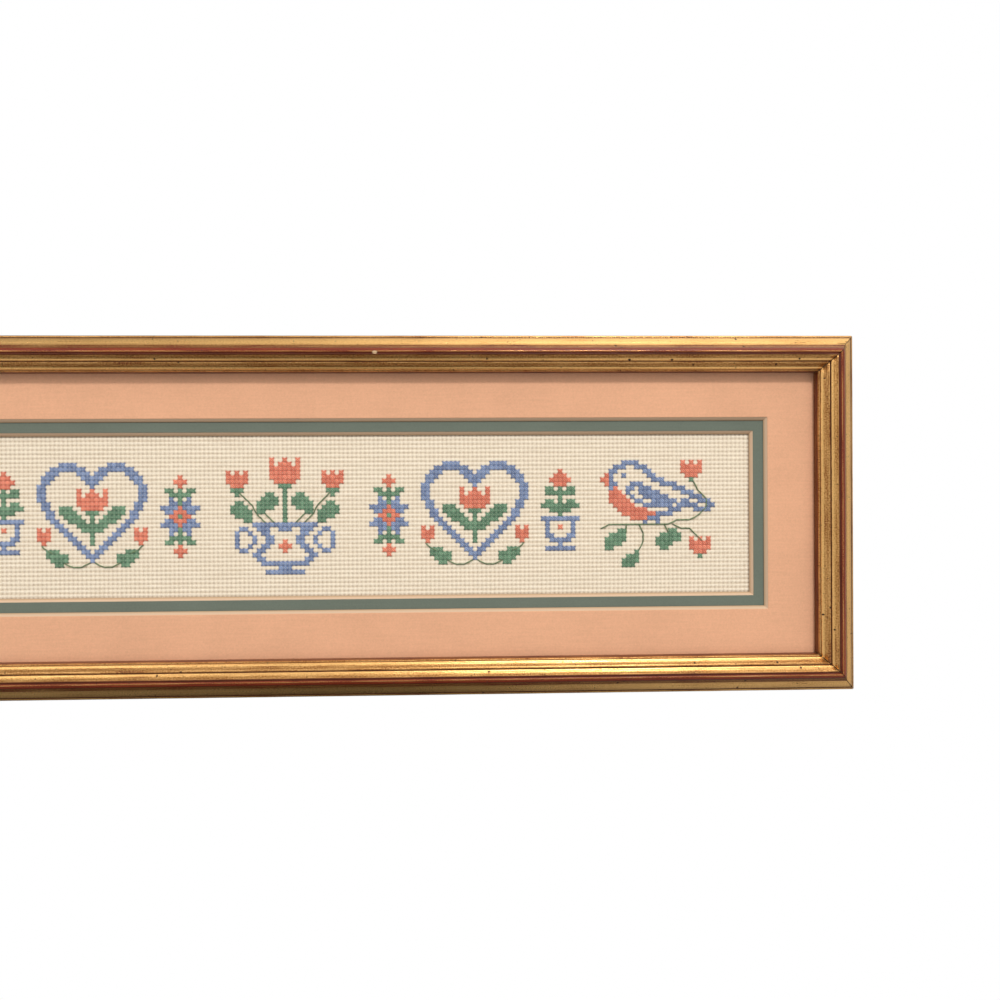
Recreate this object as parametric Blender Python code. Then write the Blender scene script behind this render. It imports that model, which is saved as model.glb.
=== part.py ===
"""Framed cross stitch sampler: stitched cloth under two window mats, in a mitred gilt moulding.

Metres, +Z up. The picture is upright and faces -Y, as it hangs. Its origin is the middle of the top
rail's back, where it meets the wall. "Across" is measured from the sight edge outwards over a rail, and
"forward" from the wall towards the viewer.
"""

import math
from collections import namedtuple

import bmesh
import bpy
from mathutils import Vector

# Air left between pieces that touch on the real object
GAP = 0.0003

# Cloth that shows in the window: 217 by 37 squares of 14 count cloth
CLOTH_SEEN_WIDTH = 0.394
CLOTH_SEEN_HEIGHT = 0.0675

# Mat board, whose window edges are cut at 45 degrees, and how much of each mat's face shows
MAT_THICKNESS = 0.0014
INNER_MAT_SEEN = 0.0042
OUTER_MAT_SEEN_AT_SIDES = 0.0196
OUTER_MAT_SEEN_ABOVE_AND_BELOW = 0.0185

# Stack behind the mats, and how deep in the frame the backing board lies
CLOTH_THICKNESS = 0.001
BACKING_THICKNESS = 0.003
BACKING_RECESS = 0.002

# Moulding: the rabbet takes the stack, whose pieces are cut smaller than it all round
RAIL_WIDTH = 0.0150
RABBET_WIDTH = 0.005
CUT_SMALLER = 0.001

# Front of the moulding. Each row is where an arc starts: how far across the rail, how far forward of
# the lip's back, how far the arc bulges towards the viewer, and how many straight steps it has.
Turn = namedtuple("Turn", "across forward bulge steps")
MOULDING = (
    Turn(0.00000, 0.00360, 0.00012, 3),  # sight bead
    Turn(0.00040, 0.00460, 0.00000, 1),  # fine groove
    Turn(0.00060, 0.00450, 0.00033, 5),  # first bead
    Turn(0.00155, 0.00545, 0.00008, 2),  # first slope
    Turn(0.00340, 0.00775, 0.00000, 1),  # groove
    Turn(0.00360, 0.00750, 0.00033, 5),  # second bead
    Turn(0.00455, 0.00845, 0.00006, 2),  # second slope
    Turn(0.00610, 0.01015, 0.00000, 1),  # side of the wide groove
    Turn(0.00630, 0.00980, 0.00000, 1),  # floor of the wide groove
    Turn(0.00665, 0.00985, 0.00028, 4),  # first reed of the crest
    Turn(0.00765, 0.01015, 0.00025, 4),  # second reed of the crest
    Turn(0.00865, 0.00915, 0.00000, 1),  # groove
    Turn(0.00880, 0.00880, 0.00000, 1),  # outer slope
    Turn(0.01070, 0.00625, 0.00022, 4),  # outer band
    Turn(0.01380, 0.00420, 0.00000, 1),  # groove
    Turn(0.01400, 0.00395, 0.00022, 4),  # edge bead
)
EDGE_FORWARD = 0.0032

# Where the stack's pieces lie, forward of the wall
CLOTH_BACK = BACKING_RECESS + BACKING_THICKNESS + GAP
INNER_MAT_BACK = CLOTH_BACK + CLOTH_THICKNESS + GAP
OUTER_MAT_BACK = INNER_MAT_BACK + MAT_THICKNESS + GAP
LIP_BACK = OUTER_MAT_BACK + MAT_THICKNESS + GAP

# Window and sight sizes, from the cloth outwards
INNER_WINDOW = Vector((CLOTH_SEEN_WIDTH, CLOTH_SEEN_HEIGHT))
OUTER_WINDOW = INNER_WINDOW + 2 * Vector((1, 1)) * (MAT_THICKNESS + INNER_MAT_SEEN)
OUTER_MARGIN = Vector((OUTER_MAT_SEEN_AT_SIDES, OUTER_MAT_SEEN_ABOVE_AND_BELOW))
SIGHT = OUTER_WINDOW + 2 * (Vector((1, 1)) * MAT_THICKNESS + OUTER_MARGIN)
STACK = SIGHT + 2 * Vector((1, 1)) * (RABBET_WIDTH - CUT_SMALLER)

# Middle of the picture, below the middle of the top rail's back
CENTRE = Vector((0, 0, -(SIGHT.y + RABBET_WIDTH + RAIL_WIDTH) / 2))

# Colour, roughness and metallic value of each finish
FINISHES = {
    "gilding": ((0.52, 0.30, 0.11), 0.38, 0.8),
    "outer_board": ((0.80, 0.44, 0.26), 0.85, 0.0),
    "inner_board": ((0.13, 0.19, 0.15), 0.85, 0.0),
    "cloth": ((0.82, 0.71, 0.53), 0.9, 0.0),
    "backing": ((0.42, 0.29, 0.17), 0.9, 0.0),
}


def clear_scene():
    for obj in list(bpy.data.objects):
        bpy.data.objects.remove(obj)


def new_collection(name):
    made = bpy.data.collections.new(name)
    bpy.context.scene.collection.children.link(made)
    return made


def new_material(name):
    colour, roughness, metallic = FINISHES[name]
    material = bpy.data.materials.new(name)
    material.use_nodes = True
    shader = material.node_tree.nodes["Principled BSDF"]
    shader.inputs["Base Color"].default_value = (*colour, 1.0)
    shader.inputs["Roughness"].default_value = roughness
    shader.inputs["Metallic"].default_value = metallic
    return material


def new_object(name, bm, collection, material=None):
    """An object made from a bmesh, which lies about the middle of the picture and is freed."""
    bmesh.ops.recalc_face_normals(bm, faces=bm.faces)
    mesh = bpy.data.meshes.new(name)
    bm.to_mesh(mesh)
    bm.free()
    if material:
        mesh.materials.append(material)
    obj = bpy.data.objects.new(name, mesh)
    obj.location = CENTRE
    collection.objects.link(obj)
    return obj


def arc(start, end, bulge, steps):
    """Points of a circular arc in 2D, without its end. It stands out by bulge, to the left of its chord."""
    if steps == 1:
        return [start]
    chord = end - start
    half = chord.length / 2
    radius = (half * half + bulge * bulge) / (2 * bulge)
    left = Vector((-chord.y, chord.x)).normalized()
    centre = (start + end) / 2 + left * (bulge - radius)
    sweep = 2 * math.asin(half / radius)
    first = math.atan2(start.y - centre.y, start.x - centre.x)
    turns = (first - sweep * i / steps for i in range(steps))
    return [centre + radius * Vector((math.cos(a), math.sin(a))) for a in turns]


def moulding_section():
    """Outline of a rail's section, as (across, forward) points: front, outer side, then rabbet."""
    starts = [Vector((turn.across, LIP_BACK + turn.forward)) for turn in MOULDING]
    starts.append(Vector((RAIL_WIDTH, LIP_BACK + EDGE_FORWARD)))
    front = []
    for turn, start, end in zip(MOULDING, starts, starts[1:]):
        front += arc(start, end, turn.bulge, turn.steps)
    front.append(starts[-1])
    back = [(RAIL_WIDTH, 0), (RABBET_WIDTH, 0), (RABBET_WIDTH, LIP_BACK), (0, LIP_BACK)]
    return front + [Vector(point) for point in back]


def rail(name, outward, collection, material):
    """One mitred rail of the frame. Outward points from the middle of the picture to the rail's middle."""
    along = Vector((abs(outward.z), 0, abs(outward.x)))
    reach = SIGHT.y / 2 if outward.z else SIGHT.x / 2
    half_length = SIGHT.x / 2 if outward.z else SIGHT.y / 2
    set_back = GAP / 2 * math.sqrt(2)
    bm = bmesh.new()
    end = []
    for across, forward in moulding_section():
        place = outward * (reach + across) + Vector((0, -forward, 0))
        end.append(bm.verts.new(place - along * (half_length + across - set_back)))
    grown = bmesh.ops.extrude_face_region(bm, geom=[bm.faces.new(end)])
    for vert in (part for part in grown["geom"] if isinstance(part, bmesh.types.BMVert)):
        vert.co -= 2 * vert.co.dot(along) * along
    return new_object(name, bm, collection, material)


def board(name, size, back, thickness, collection, material=None, flare=0.0):
    """A flat piece upright behind the frame. Its front is larger than its back by flare on every side."""
    bm = bmesh.new()
    bmesh.ops.create_cube(bm, size=1)
    for vert in bm.verts:
        at_front = vert.co.y < 0
        grow = flare if at_front else 0.0
        vert.co.x *= size.x + 2 * grow
        vert.co.z *= size.y + 2 * grow
        vert.co.y = -(back + thickness) if at_front else -back
    return new_object(name, bm, collection, material)


def window_mat(name, window, back, collection, cutters, material):
    """A mat board with a window cut through it at 45 degrees, wider at the front."""
    mat = board(name, STACK, back, MAT_THICKNESS, collection, material)
    past = MAT_THICKNESS
    cutter_size = window - 2 * Vector((1, 1)) * past
    depth = MAT_THICKNESS + 2 * past
    cutter = board(name + "_cutter", cutter_size, back - past, depth, cutters, flare=depth)
    cutter.hide_render = True
    cutter.display_type = "WIRE"
    cut = mat.modifiers.new("window", "BOOLEAN")
    cut.operation = "DIFFERENCE"
    cut.object = cutter
    return mat


def main():
    clear_scene()
    parts = new_collection("framed_sampler")
    cutters = new_collection("cutters")
    material = {name: new_material(name) for name in FINISHES}

    board("backing_board", STACK, BACKING_RECESS, BACKING_THICKNESS, parts, material["backing"])
    board("stitched_cloth", STACK, CLOTH_BACK, CLOTH_THICKNESS, parts, material["cloth"])
    inner, outer = material["inner_board"], material["outer_board"]
    window_mat("inner_mat", INNER_WINDOW, INNER_MAT_BACK, parts, cutters, inner)
    window_mat("outer_mat", OUTER_WINDOW, OUTER_MAT_BACK, parts, cutters, outer)

    sides = {"top": (0, 0, 1), "bottom": (0, 0, -1), "left": (-1, 0, 0), "right": (1, 0, 0)}
    for side, outward in sides.items():
        rail("rail_" + side, Vector(outward), parts, material["gilding"])


main()
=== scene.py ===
"""Looks of the framed sampler: block weave, cross stitches, mat boards, gilt rails, light and camera.

Metres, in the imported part's frame: the picture is upright, faces -Y, and +Z is up. "Across" is measured
from the sight edge outwards over a rail, and "forward" from the wall towards the viewer. Places in the
stitching are in squares of the cloth, counted from the middle of the window to the right and up.
"""

import math
import random
from collections import namedtuple

import bmesh
import bpy
from mathutils import Matrix, Vector, noise


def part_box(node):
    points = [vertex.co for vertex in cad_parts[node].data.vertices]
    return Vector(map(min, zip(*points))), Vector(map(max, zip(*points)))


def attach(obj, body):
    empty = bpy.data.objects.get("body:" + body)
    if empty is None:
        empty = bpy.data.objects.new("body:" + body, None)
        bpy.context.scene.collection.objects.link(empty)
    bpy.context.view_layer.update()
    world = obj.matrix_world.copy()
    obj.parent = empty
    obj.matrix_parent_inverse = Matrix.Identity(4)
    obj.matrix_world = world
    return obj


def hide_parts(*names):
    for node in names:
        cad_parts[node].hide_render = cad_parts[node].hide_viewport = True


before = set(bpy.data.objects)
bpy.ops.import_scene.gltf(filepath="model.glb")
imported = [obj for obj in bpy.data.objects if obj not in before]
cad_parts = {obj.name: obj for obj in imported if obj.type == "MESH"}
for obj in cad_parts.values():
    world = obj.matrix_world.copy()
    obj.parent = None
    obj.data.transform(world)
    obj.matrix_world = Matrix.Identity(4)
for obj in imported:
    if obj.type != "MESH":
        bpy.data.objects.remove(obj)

MM = 0.001

# The weave sets the scale: 14 squares to the inch, each with four threads each way
SQUARE = 25.4 * MM / 14
THREADS_IN_A_SQUARE = 4
RELIEF_STEPS_IN_A_SQUARE = 3
WEAVE_RISE = 0.48 * MM

# Thickness of the cloth where its threads lie lowest, and how far forward of that a strand's ends stay
CLOTH_BODY = 0.40 * MM
STRAND_FOOT = 0.12 * MM

# Camera, from the photo's perspective. Its place is measured from the picture's middle, at the wall.
CAMERA_PLACE = Vector((0.0817, -0.3123, 0.0073))
CAMERA_TURN = math.radians(-1.647)
CAMERA_TILT = math.radians(-0.211)
CAMERA_ROLL = math.radians(0.347)
CAMERA_LENS_MM = 26.0

# Floss: a strand's radius, how far the two strands of a stitch part, how far a strand strays, how finely
# it is made, and how high the legs rise
STRAND_RADIUS = 0.285 * MM
STRAND_SPREAD = 0.37 * MM
STRAND_UNEVENNESS = 0.1 * MM
STRAND_SIDES, STRAND_POINTS = 5, 4
LOWER_LEG_RISE = 0.26 * MM
UPPER_LEG_RISE = 0.48 * MM
BACK_STITCH_RADIUS = 0.29 * MM
BACK_STITCH_RISE = 0.62 * MM

# The rabbet's bare wood ends at the back of the sight lip, this far forward of the wall
LIP_BACK = 10.0 * MM

# Rails: how far apart they are cut across, how far their gilt surface strays, and how that varies over them
RAIL_CUT_EVERY = 4.0 * MM
RAIL_UNEVENNESS = 0.025 * MM
BROAD_WAVES, FINE_WAVES = 130.0, 410.0

# Edges that turn by more than this stay crisp
CRISP_ON_CLOTH = math.radians(60)
CRISP_ON_RAIL = math.radians(32)

# Points this close are one point, and faces this nearly level are one face. A face is square to a
# direction, or slants to it at a mitre, where at least this share of its normal lies along it.
TOUCH = 0.01 * MM
LEVEL = math.radians(0.5)
SQUARE_TO, AT_MITRE = 0.999, 0.5

# Darkest and lightest colour of each floss; the painted shade between its turns and by the holes reaches
# towards the darkest
FLOSS_COLOURS = {
    "blue": ((0.035, 0.060, 0.16), (0.37, 0.47, 0.70)),
    "green": ((0.02, 0.070, 0.035), (0.26, 0.45, 0.29)),
    "coral": ((0.44, 0.060, 0.030), (1.0, 0.37, 0.24)),
    "olive": ((0.06, 0.095, 0.045), (0.21, 0.30, 0.15)),
}

# Darkest and lightest colour of the other finishes
COTTON = ((0.68, 0.55, 0.40), (1.0, 0.90, 0.74))
LEAF = ((0.32, 0.108, 0.016), (0.96, 0.57, 0.21))
RED_GROUND = ((0.11, 0.011, 0.004), (0.32, 0.058, 0.024))
# The dark groove colour is antiquing in the grooves, and painted shade on the wall inside the sight edge and
# on the sight bead
DARK_GROOVE_AND_SHADE = ((0.030, 0.007, 0.002), (0.12, 0.034, 0.010))
BARE_WOOD = ((0.16, 0.09, 0.045), (0.38, 0.25, 0.14))
FIBREBOARD = ((0.24, 0.15, 0.08), (0.42, 0.29, 0.17))

# Single colours: the mats' papers and core, the painted shade in the weave's holes, and marks in the gilding
OUTER_PAPER = (0.80, 0.435, 0.265)
INNER_PAPER = (0.155, 0.185, 0.150)
CORE = (0.67, 0.48, 0.33)
DEEP_CORE = (0.48, 0.31, 0.18)
PAINTED_HOLE_SHADE = (0.54, 0.42, 0.30)
SPECK = (0.040, 0.014, 0.006)
DARK_NICK = (0.035, 0.012, 0.006)
PALE_FILLER = (0.85, 0.62, 0.38)

# How far from a hole's middle the painted shade in the weave starts and is darkest, in squares
HOLE_RIM = (0.16, 0.07)

# How fine the noise of each finish is, in waves a metre: the boards' paper, the weave, the gilding with
# its zones' ragged edges, the nicks' rims, and the wood. Some of it is stretched along an axis.
CLOUDS, PULP, LAID = 38.0, 1400.0, (60.0, 1.0, 1300.0)
FUZZ, SLUBS = 2400.0, (60.0, 1.0, 1300.0)
RAGGED, SAND, PATCHES, STREAKS = 420.0, 2100.0, 45.0, (45.0, 4600.0, 1.0)
CHIPPED = 2200.0
WOOD_GRAIN = (20.0, 300.0, 300.0)
FIBREBOARD_GRAIN = (160.0, 160.0, 160.0)

# The same for the mesh: how the weave's relief and the strands stray
LOOSE_WEAVE, STRAND_WANDER = 420.0, 700.0

# Letters that stand for a stitch of each floss in the charts, the floss of the stems, and the seed of the
# stitches' small differences
FLOSS_OF_LETTER = {"b": "blue", "g": "green", "c": "coral"}
STEM_FLOSS = "olive"
LUCK_SEED = 14

# A motif of the chart: its middle column, its top row, whether its rows start on its own axis and are
# mirrored there, its rows from the top down, and its stems as lines of back stitch from hole to hole
Motif = namedtuple("Motif", "column top mirrored rows stems")

MOTIFS = (
    Motif(0, 13, True, (  # urn of tulips
        "c..c..........",
        "cc.c..........",
        "cccc..........",
        "cccc.....c.c.c",
        "cccc.....ccccc",
        "ccc......ccccc",
        "gg........ccc.",
        "g.........ggg.",
        "g..gg......g..",
        "g.gggg........",
        "g.ggggg...gg..",
        "g..gggg..gggg.",
        "g....gg.ggggg.",
        "g.......gggg..",
        "g.......gg....",
        "bbbbbbbb......",
        "bb..bbb..bb...",
        "....bb..b..b..",
        "...bb..b...b..",
        "c..bb..b...b..",
        "cc..bb..b..b..",
        "c....bb..bb...",
        "......bb......",
        ".....bb.......",
        "bbbbbb........",
        "bb............",
        "bbbbb.........",
    ), (
        ((10.5, 5.5), (7.5, 2.5), (6.5, 0.5), (5.5, -0.5), (4.5, -1.5)),
        ((4.5, 0.5), (3.5, -0.5), (2.5, -1.5)),
    )),
    Motif(24, 9, True, (  # small star
        "c....",
        "cc...",
        "c....",
        "g.gg.",
        "ggg..",
        "g.b..",
        "gbb..",
        "cbbbb",
        "ccbb.",
        "gcc..",
        "ccbb.",
        "cbbbb",
        "gbb..",
        "g.b..",
        "ggg..",
        "g.gg.",
        "c....",
        "cc...",
        "c....",
    ), ()),
    Motif(44, 12, True, (  # heart garland
        "....bbbb.....",
        "..bbbbbbbb...",
        ".bbb....bbb..",
        "bbb......bbb.",
        "bb........bb.",
        "b..........bb",
        "c..c.......bb",
        "cc.c.......bb",
        "cccc.......bb",
        "cccc......bb.",
        "ccc..ggg..bb.",
        "gg..gggg.bb..",
        "g..gggg..bb..",
        "g.gggg..bb...",
        "gggg...bb....",
        "ggg...bb..c.c",
        "g....bb...ccc",
        "g...bb....ccc",
        "g..bb......c.",
        "..bb.........",
        ".bb.....ggg..",
        "bb....ggggg..",
        "b.....gggg...",
        ".......gg....",
    ), (
        ((0.5, -10.5), (2.5, -11.5), (4.5, -11.5), (6.5, -10.5)),
        ((8.5, -8.5), (10.5, -7.5), (11.5, -6.5)),
    )),
    Motif(64, 10, True, (  # potted bush
        "c....",
        "cc...",
        "ccc..",
        "cc...",
        "g.gg.",
        "gggg.",
        "g....",
        "g.gg.",
        "ggggg",
        "ggg..",
        "g....",
        "bbbbb",
        "...b.",
        "c..b.",
        "...b.",
        "..bb.",
        "bbb..",
        "b....",
        "bbbb.",
    ), ()),
    Motif(74, 12, False, (  # songbird on a branch
        ".....bbbb..........c.c.c...",
        "...bbb..bbb........ccccc...",
        "..bb......bb.......ccccc...",
        ".cb..b.....bb.......ccc....",
        "ccb.........bbb......g.....",
        ".cbb...bbb....bbbb.........",
        "..bc..bb.bbb.....bbb.......",
        "..ccc.b..bbbbb.....bbb.....",
        "..cccc.b..bbbbbb.....bbb...",
        "..ccccc.bb..bbbbbb.bb..bbb.",
        "...ccccc..bbbbbbb.bbbbb..bb",
        "....ccccccc.....bbb...bbbb.",
        ".....ccccccccbbbb..........",
        ".......ccccbbb.............",
        "..........b..b.............",
        "...........................",
        "....gg..........gg.........",
        "..gggg........ggggg........",
        ".ggggg.......gggggg..c.c.c.",
        ".gggg........gggg....ccccc.",
        ".gg...........gg.....ccccc.",
        "........g.............ccc..",
        "......ggg..............g...",
        ".....gggg..................",
        ".....ggg...................",
    ), (
        ((-0.5, -3.5), (1.5, -2.5), (5.5, -2.5), (15.5, -2.5), (17.5, -1.5), (20.5, -1.5), (22.5, -0.5),
         (24.5, 1.5), (24.5, 3.5), (22.5, 5.5), (21.5, 7.5)),
        ((8.5, -2.5), (9.5, -4.5), (9.5, -6.5), (8.5, -8.5)),
        ((16.5, -2.5), (18.5, -3.5), (20.5, -3.5), (23.5, -6.5)),
        ((5.5, -2.5), (5.5, -4.5)),
        ((14.5, -2.5), (15.5, -4.5)),
    )),
)

# Nicks in the gilding: where the middle of each lies across the picture and up it from its middle, how
# far forward of the wall, its radius, and whether it shows the pale filler or dark ground. In millimetres.
Nick = namedtuple("Nick", "x z forward radius pale")
NICKS = (
    Nick(40.0, 66.1, 20.0, 0.95, 1.0),
    Nick(143.5, 63.3, 18.2, 0.60, 0.0),
    Nick(161.0, 63.3, 18.2, 0.55, 0.0),
    Nick(188.4, 60.4, 15.6, 0.35, 0.0),
    Nick(225.5, 56.0, 15.8, 0.45, 0.0),
    Nick(224.6, -42.4, 15.8, 0.70, 0.0),
    Nick(176.6, -62.8, 17.8, 0.45, 0.0),
)

# Finishes over the moulding's section. Each row is where a zone starts across the rail, in millimetres,
# and how much leaf, red ground and dark groove colour it shows; on the wall inside the sight edge and on the
# sight bead that dark colour is painted shade. Below 0 is that wall, and past 15 the outer side, which ends
# short of the last zone's end.
Zone = namedtuple("Zone", "start leaf ground groove")
ZONES = (
    Zone(-4.00, 0.50, 0.20, 0.30),  # deep part of the wall inside the sight edge, darkened with painted shade
    Zone(-1.60, 0.35, 0.30, 0.50),  # front part of that wall, darker still with painted shade
    Zone(-0.10, 0.75, 0.00, 0.28),  # sight bead, dulled with painted shade
    Zone(0.40, 0.10, 0.20, 0.90),  # fine groove
    Zone(0.63, 1.00, 0.00, 0.00),  # first bead
    Zone(1.50, 0.72, 0.00, 0.22),  # first slope
    Zone(3.30, 0.05, 0.10, 0.92),  # groove
    Zone(3.62, 1.00, 0.00, 0.00),  # second bead
    Zone(4.50, 0.74, 0.00, 0.14),  # second slope
    Zone(5.76, 0.03, 0.85, 0.75),  # wide groove
    Zone(6.66, 0.08, 1.00, 0.00),  # first reed of the crest
    Zone(6.96, 0.62, 0.42, 0.00),  # rubbed crown of that reed
    Zone(7.32, 0.08, 1.00, 0.00),  # outer half of that reed
    Zone(7.60, 0.03, 0.90, 0.55),  # line between the reeds
    Zone(7.74, 0.14, 0.95, 0.00),  # second reed of the crest
    Zone(8.60, 0.10, 0.80, 0.50),  # line outside the crest
    Zone(9.00, 0.60, 0.30, 0.26),  # outer slope
    Zone(10.55, 0.95, 0.00, 0.00),  # outer band
    Zone(13.56, 0.05, 0.20, 0.95),  # groove
    Zone(14.10, 0.80, 0.10, 0.10),  # edge bead
    Zone(15.00, 0.72, 0.20, 0.30),  # outer side
)
ZONES_END = 30.0

# How much a distance from a nick's middle counts along X, Y and Z, so that nicks lie along the rails
NICK_SQUEEZE = (0.75, 0.5, 1.25)

# Strength of the room's light from the ceiling, the walls and the floor
CEILING, BRIGHTER_CEILING = 0.45, 0.90
WALLS, DIM_BY_VIEWER, BRIGHTER_WALLS = 0.64, 0.26, 0.40
FLOOR, BRIGHTER_FLOOR_RIGHT, BRIGHTER_FLOOR_LEFT = 0.02, 0.50, 0.20

# Where these lie in the room, as the X of a direction of length 1, or its Z for the last two. Each patch has
# its middle and its reach, and each change has its two ends.
BRIGHT_CEILING_AT = (0.22, 0.65)
VIEWER_AT = (-0.07, 0.26)
BRIGHT_WALL_AT = (0.25, 0.22)
FLOOR_BRIGHTENS_RIGHT = (-0.05, 0.32)
FLOOR_BRIGHTENS_LEFT = (-0.22, -0.60)
FLOOR_TO_WALLS = (-0.66, -0.44)
WALLS_TO_CEILING = (0.20, 0.60)

# Behind the picture the room is dimmer: where that sets in along Y, and how much light is left low and
# high up, and on the left and right. Each has its two ends in the room, then what is left at each.
BEHIND_FROM = (0.0, 0.25)
LIGHT_BY_HEIGHT = (-0.4, 0.4, 0.45, 0.95)
LIGHT_BY_SIDE = (-0.35, 0.15, 0.35, 1.0)

# Colour of the room's light and of the lamps
ROOM_TINT = (1.0, 0.98, 0.95)
LAMP_TINT = (1.0, 0.97, 0.93)

# Lamps: place from the middle of the picture, width and height, and power in watts
Lamp = namedtuple("Lamp", "name offset size watts")
LAMPS = (
    Lamp("key", (0.32, -0.87, 0.83), (0.12, 0.12), 6.9),
    Lamp("left_lamp", (-0.60, -0.70, 0.55), (0.30, 0.50), 1.3),
)

# Floor: half its width, and how high it lies
FLOOR_REACH = 9.0
FLOOR_HEIGHT = -1.6


def middle_of(*nodes):
    """Middle of the box that holds these nodes."""
    boxes = [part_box(node) for node in nodes]
    low = [min(box[0][i] for box in boxes) for i in range(3)]
    high = [max(box[1][i] for box in boxes) for i in range(3)]
    return (Vector(low) + Vector(high)) / 2


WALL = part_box("rail_top")[1].y
CLOTH_LOW, CLOTH_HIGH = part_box("stitched_cloth")
MIDDLE = middle_of("rail_top", "rail_bottom", "rail_left", "rail_right")
CLOTH_FRONT = CLOTH_HIGH.y - CLOTH_BODY


# Node trees

def add(tree, kind, inputs=None, **settings):
    """A new node with its settings. Each input, by name or number, is a plain value or another's socket."""
    made = tree.nodes.new(kind)
    for name, value in settings.items():
        setattr(made, name, value)
    for name, value in (inputs or {}).items():
        if isinstance(value, bpy.types.NodeSocket):
            tree.links.new(value, made.inputs[name])
        else:
            made.inputs[name].default_value = value
    return made


def maths(tree, operation, *values):
    made = add(tree, "ShaderNodeMath", dict(enumerate(values)), operation=operation)
    return made.outputs[0]


def vector_maths(tree, operation, *values):
    made = add(tree, "ShaderNodeVectorMath", dict(enumerate(values)), operation=operation)
    return made.outputs[0]


def blend(tree, *shares):
    """Sum of values, each given with the share of it that is taken."""
    total = 0.0
    for value, share in shares:
        total = maths(tree, "MULTIPLY_ADD", value, share, total)
    return total


def between(tree, value, low, high, to_low=0.0, to_high=1.0):
    """Value brought from low..high to to_low..to_high, and held there."""
    inputs = {0: value, 1: low, 2: high, 3: to_low, 4: to_high}
    return add(tree, "ShaderNodeMapRange", inputs).outputs[0]


def hump(tree, value, middle, reach):
    """1 where value is at the middle, falling smoothly to 0 at reach on both sides of it."""
    aside = maths(tree, "ABSOLUTE", maths(tree, "SUBTRACT", value, middle))
    inputs = {0: aside, 1: 0.0, 2: reach, 3: 1.0, 4: 0.0}
    return add(tree, "ShaderNodeMapRange", inputs, interpolation_type="SMOOTHSTEP").outputs[0]


def mix_values(tree, share, first, second):
    """Value from first to second as share goes from 0 to 1."""
    return add(tree, "ShaderNodeMix", {0: share, 2: first, 3: second}).outputs[0]


def mix_colours(tree, share, first, second, way="MIX"):
    """Colour from first to second as share goes from 0 to 1."""
    inputs = {0: share, 6: first, 7: second}
    return add(tree, "ShaderNodeMix", inputs, data_type="RGBA", blend_type=way).outputs[2]


def tinted(tree, share, shades):
    """Colour from the darkest to the lightest of a finish as share goes from 0 to 1."""
    dark, light = shades
    return mix_colours(tree, share, colour(*dark), colour(*light))


def noise_of(tree, vector, scale, detail, roughness=0.5):
    inputs = {"Vector": vector, "Scale": scale, "Detail": detail, "Roughness": roughness}
    return add(tree, "ShaderNodeTexNoise", inputs).outputs["Fac"]


def scaled(tree, vector, x, y, z):
    return vector_maths(tree, "MULTIPLY", vector, (x, y, z))


def times(tree, vector, factor):
    """A vector times one value."""
    return add(tree, "ShaderNodeVectorMath", {0: vector, "Scale": factor}, operation="SCALE").outputs[0]


def colour(red, green, blue):
    return (red, green, blue, 1.0)


def new_group(name, kind, inputs, outputs):
    """A node group. Its sockets are given as {name: (type, default or None)} and {name: type}."""
    tree = bpy.data.node_groups.new(name, kind)
    for label, (socket, default) in inputs.items():
        made = tree.interface.new_socket(label, in_out="INPUT", socket_type=socket)
        if default is not None:
            made.default_value = default
    for label, socket in outputs.items():
        tree.interface.new_socket(label, in_out="OUTPUT", socket_type=socket)
    return tree, tree.nodes.new("NodeGroupInput").outputs, tree.nodes.new("NodeGroupOutput").inputs


def place_group(tree, group, inputs):
    """A node group placed in a tree. Returns its output sockets."""
    return add(tree, "ShaderNodeGroup", inputs, node_tree=group).outputs


FLOAT, VECTOR, COLOUR = "NodeSocketFloat", "NodeSocketVector", "NodeSocketColor"


def flecks_group():
    """Small specks scattered over a surface: paper fibres, worn pin holes, dust."""
    tree, given, out = new_group(
        "flecks",
        "ShaderNodeTree",
        {"Vector": (VECTOR, None), "Size": (FLOAT, None), "Share": (FLOAT, None)},
        {"Mask": FLOAT},
    )
    at = times(tree, given["Vector"], maths(tree, "DIVIDE", 1.0, given["Size"]))
    cells = add(tree, "ShaderNodeTexVoronoi", {"Vector": at, "Scale": 1.0, "Randomness": 1.0})
    rough = noise_of(tree, at, 1.7, 2.0)
    near = maths(tree, "ADD", cells.outputs["Distance"], maths(tree, "MULTIPLY", rough, 0.35))
    spot = between(tree, near, 0.42, 0.30)
    pick = add(tree, "ShaderNodeSeparateColor", {0: cells.outputs["Color"]}).outputs[0]
    chosen = maths(tree, "LESS_THAN", pick, given["Share"])
    tree.links.new(maths(tree, "MULTIPLY", spot, chosen), out["Mask"])
    return tree


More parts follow.
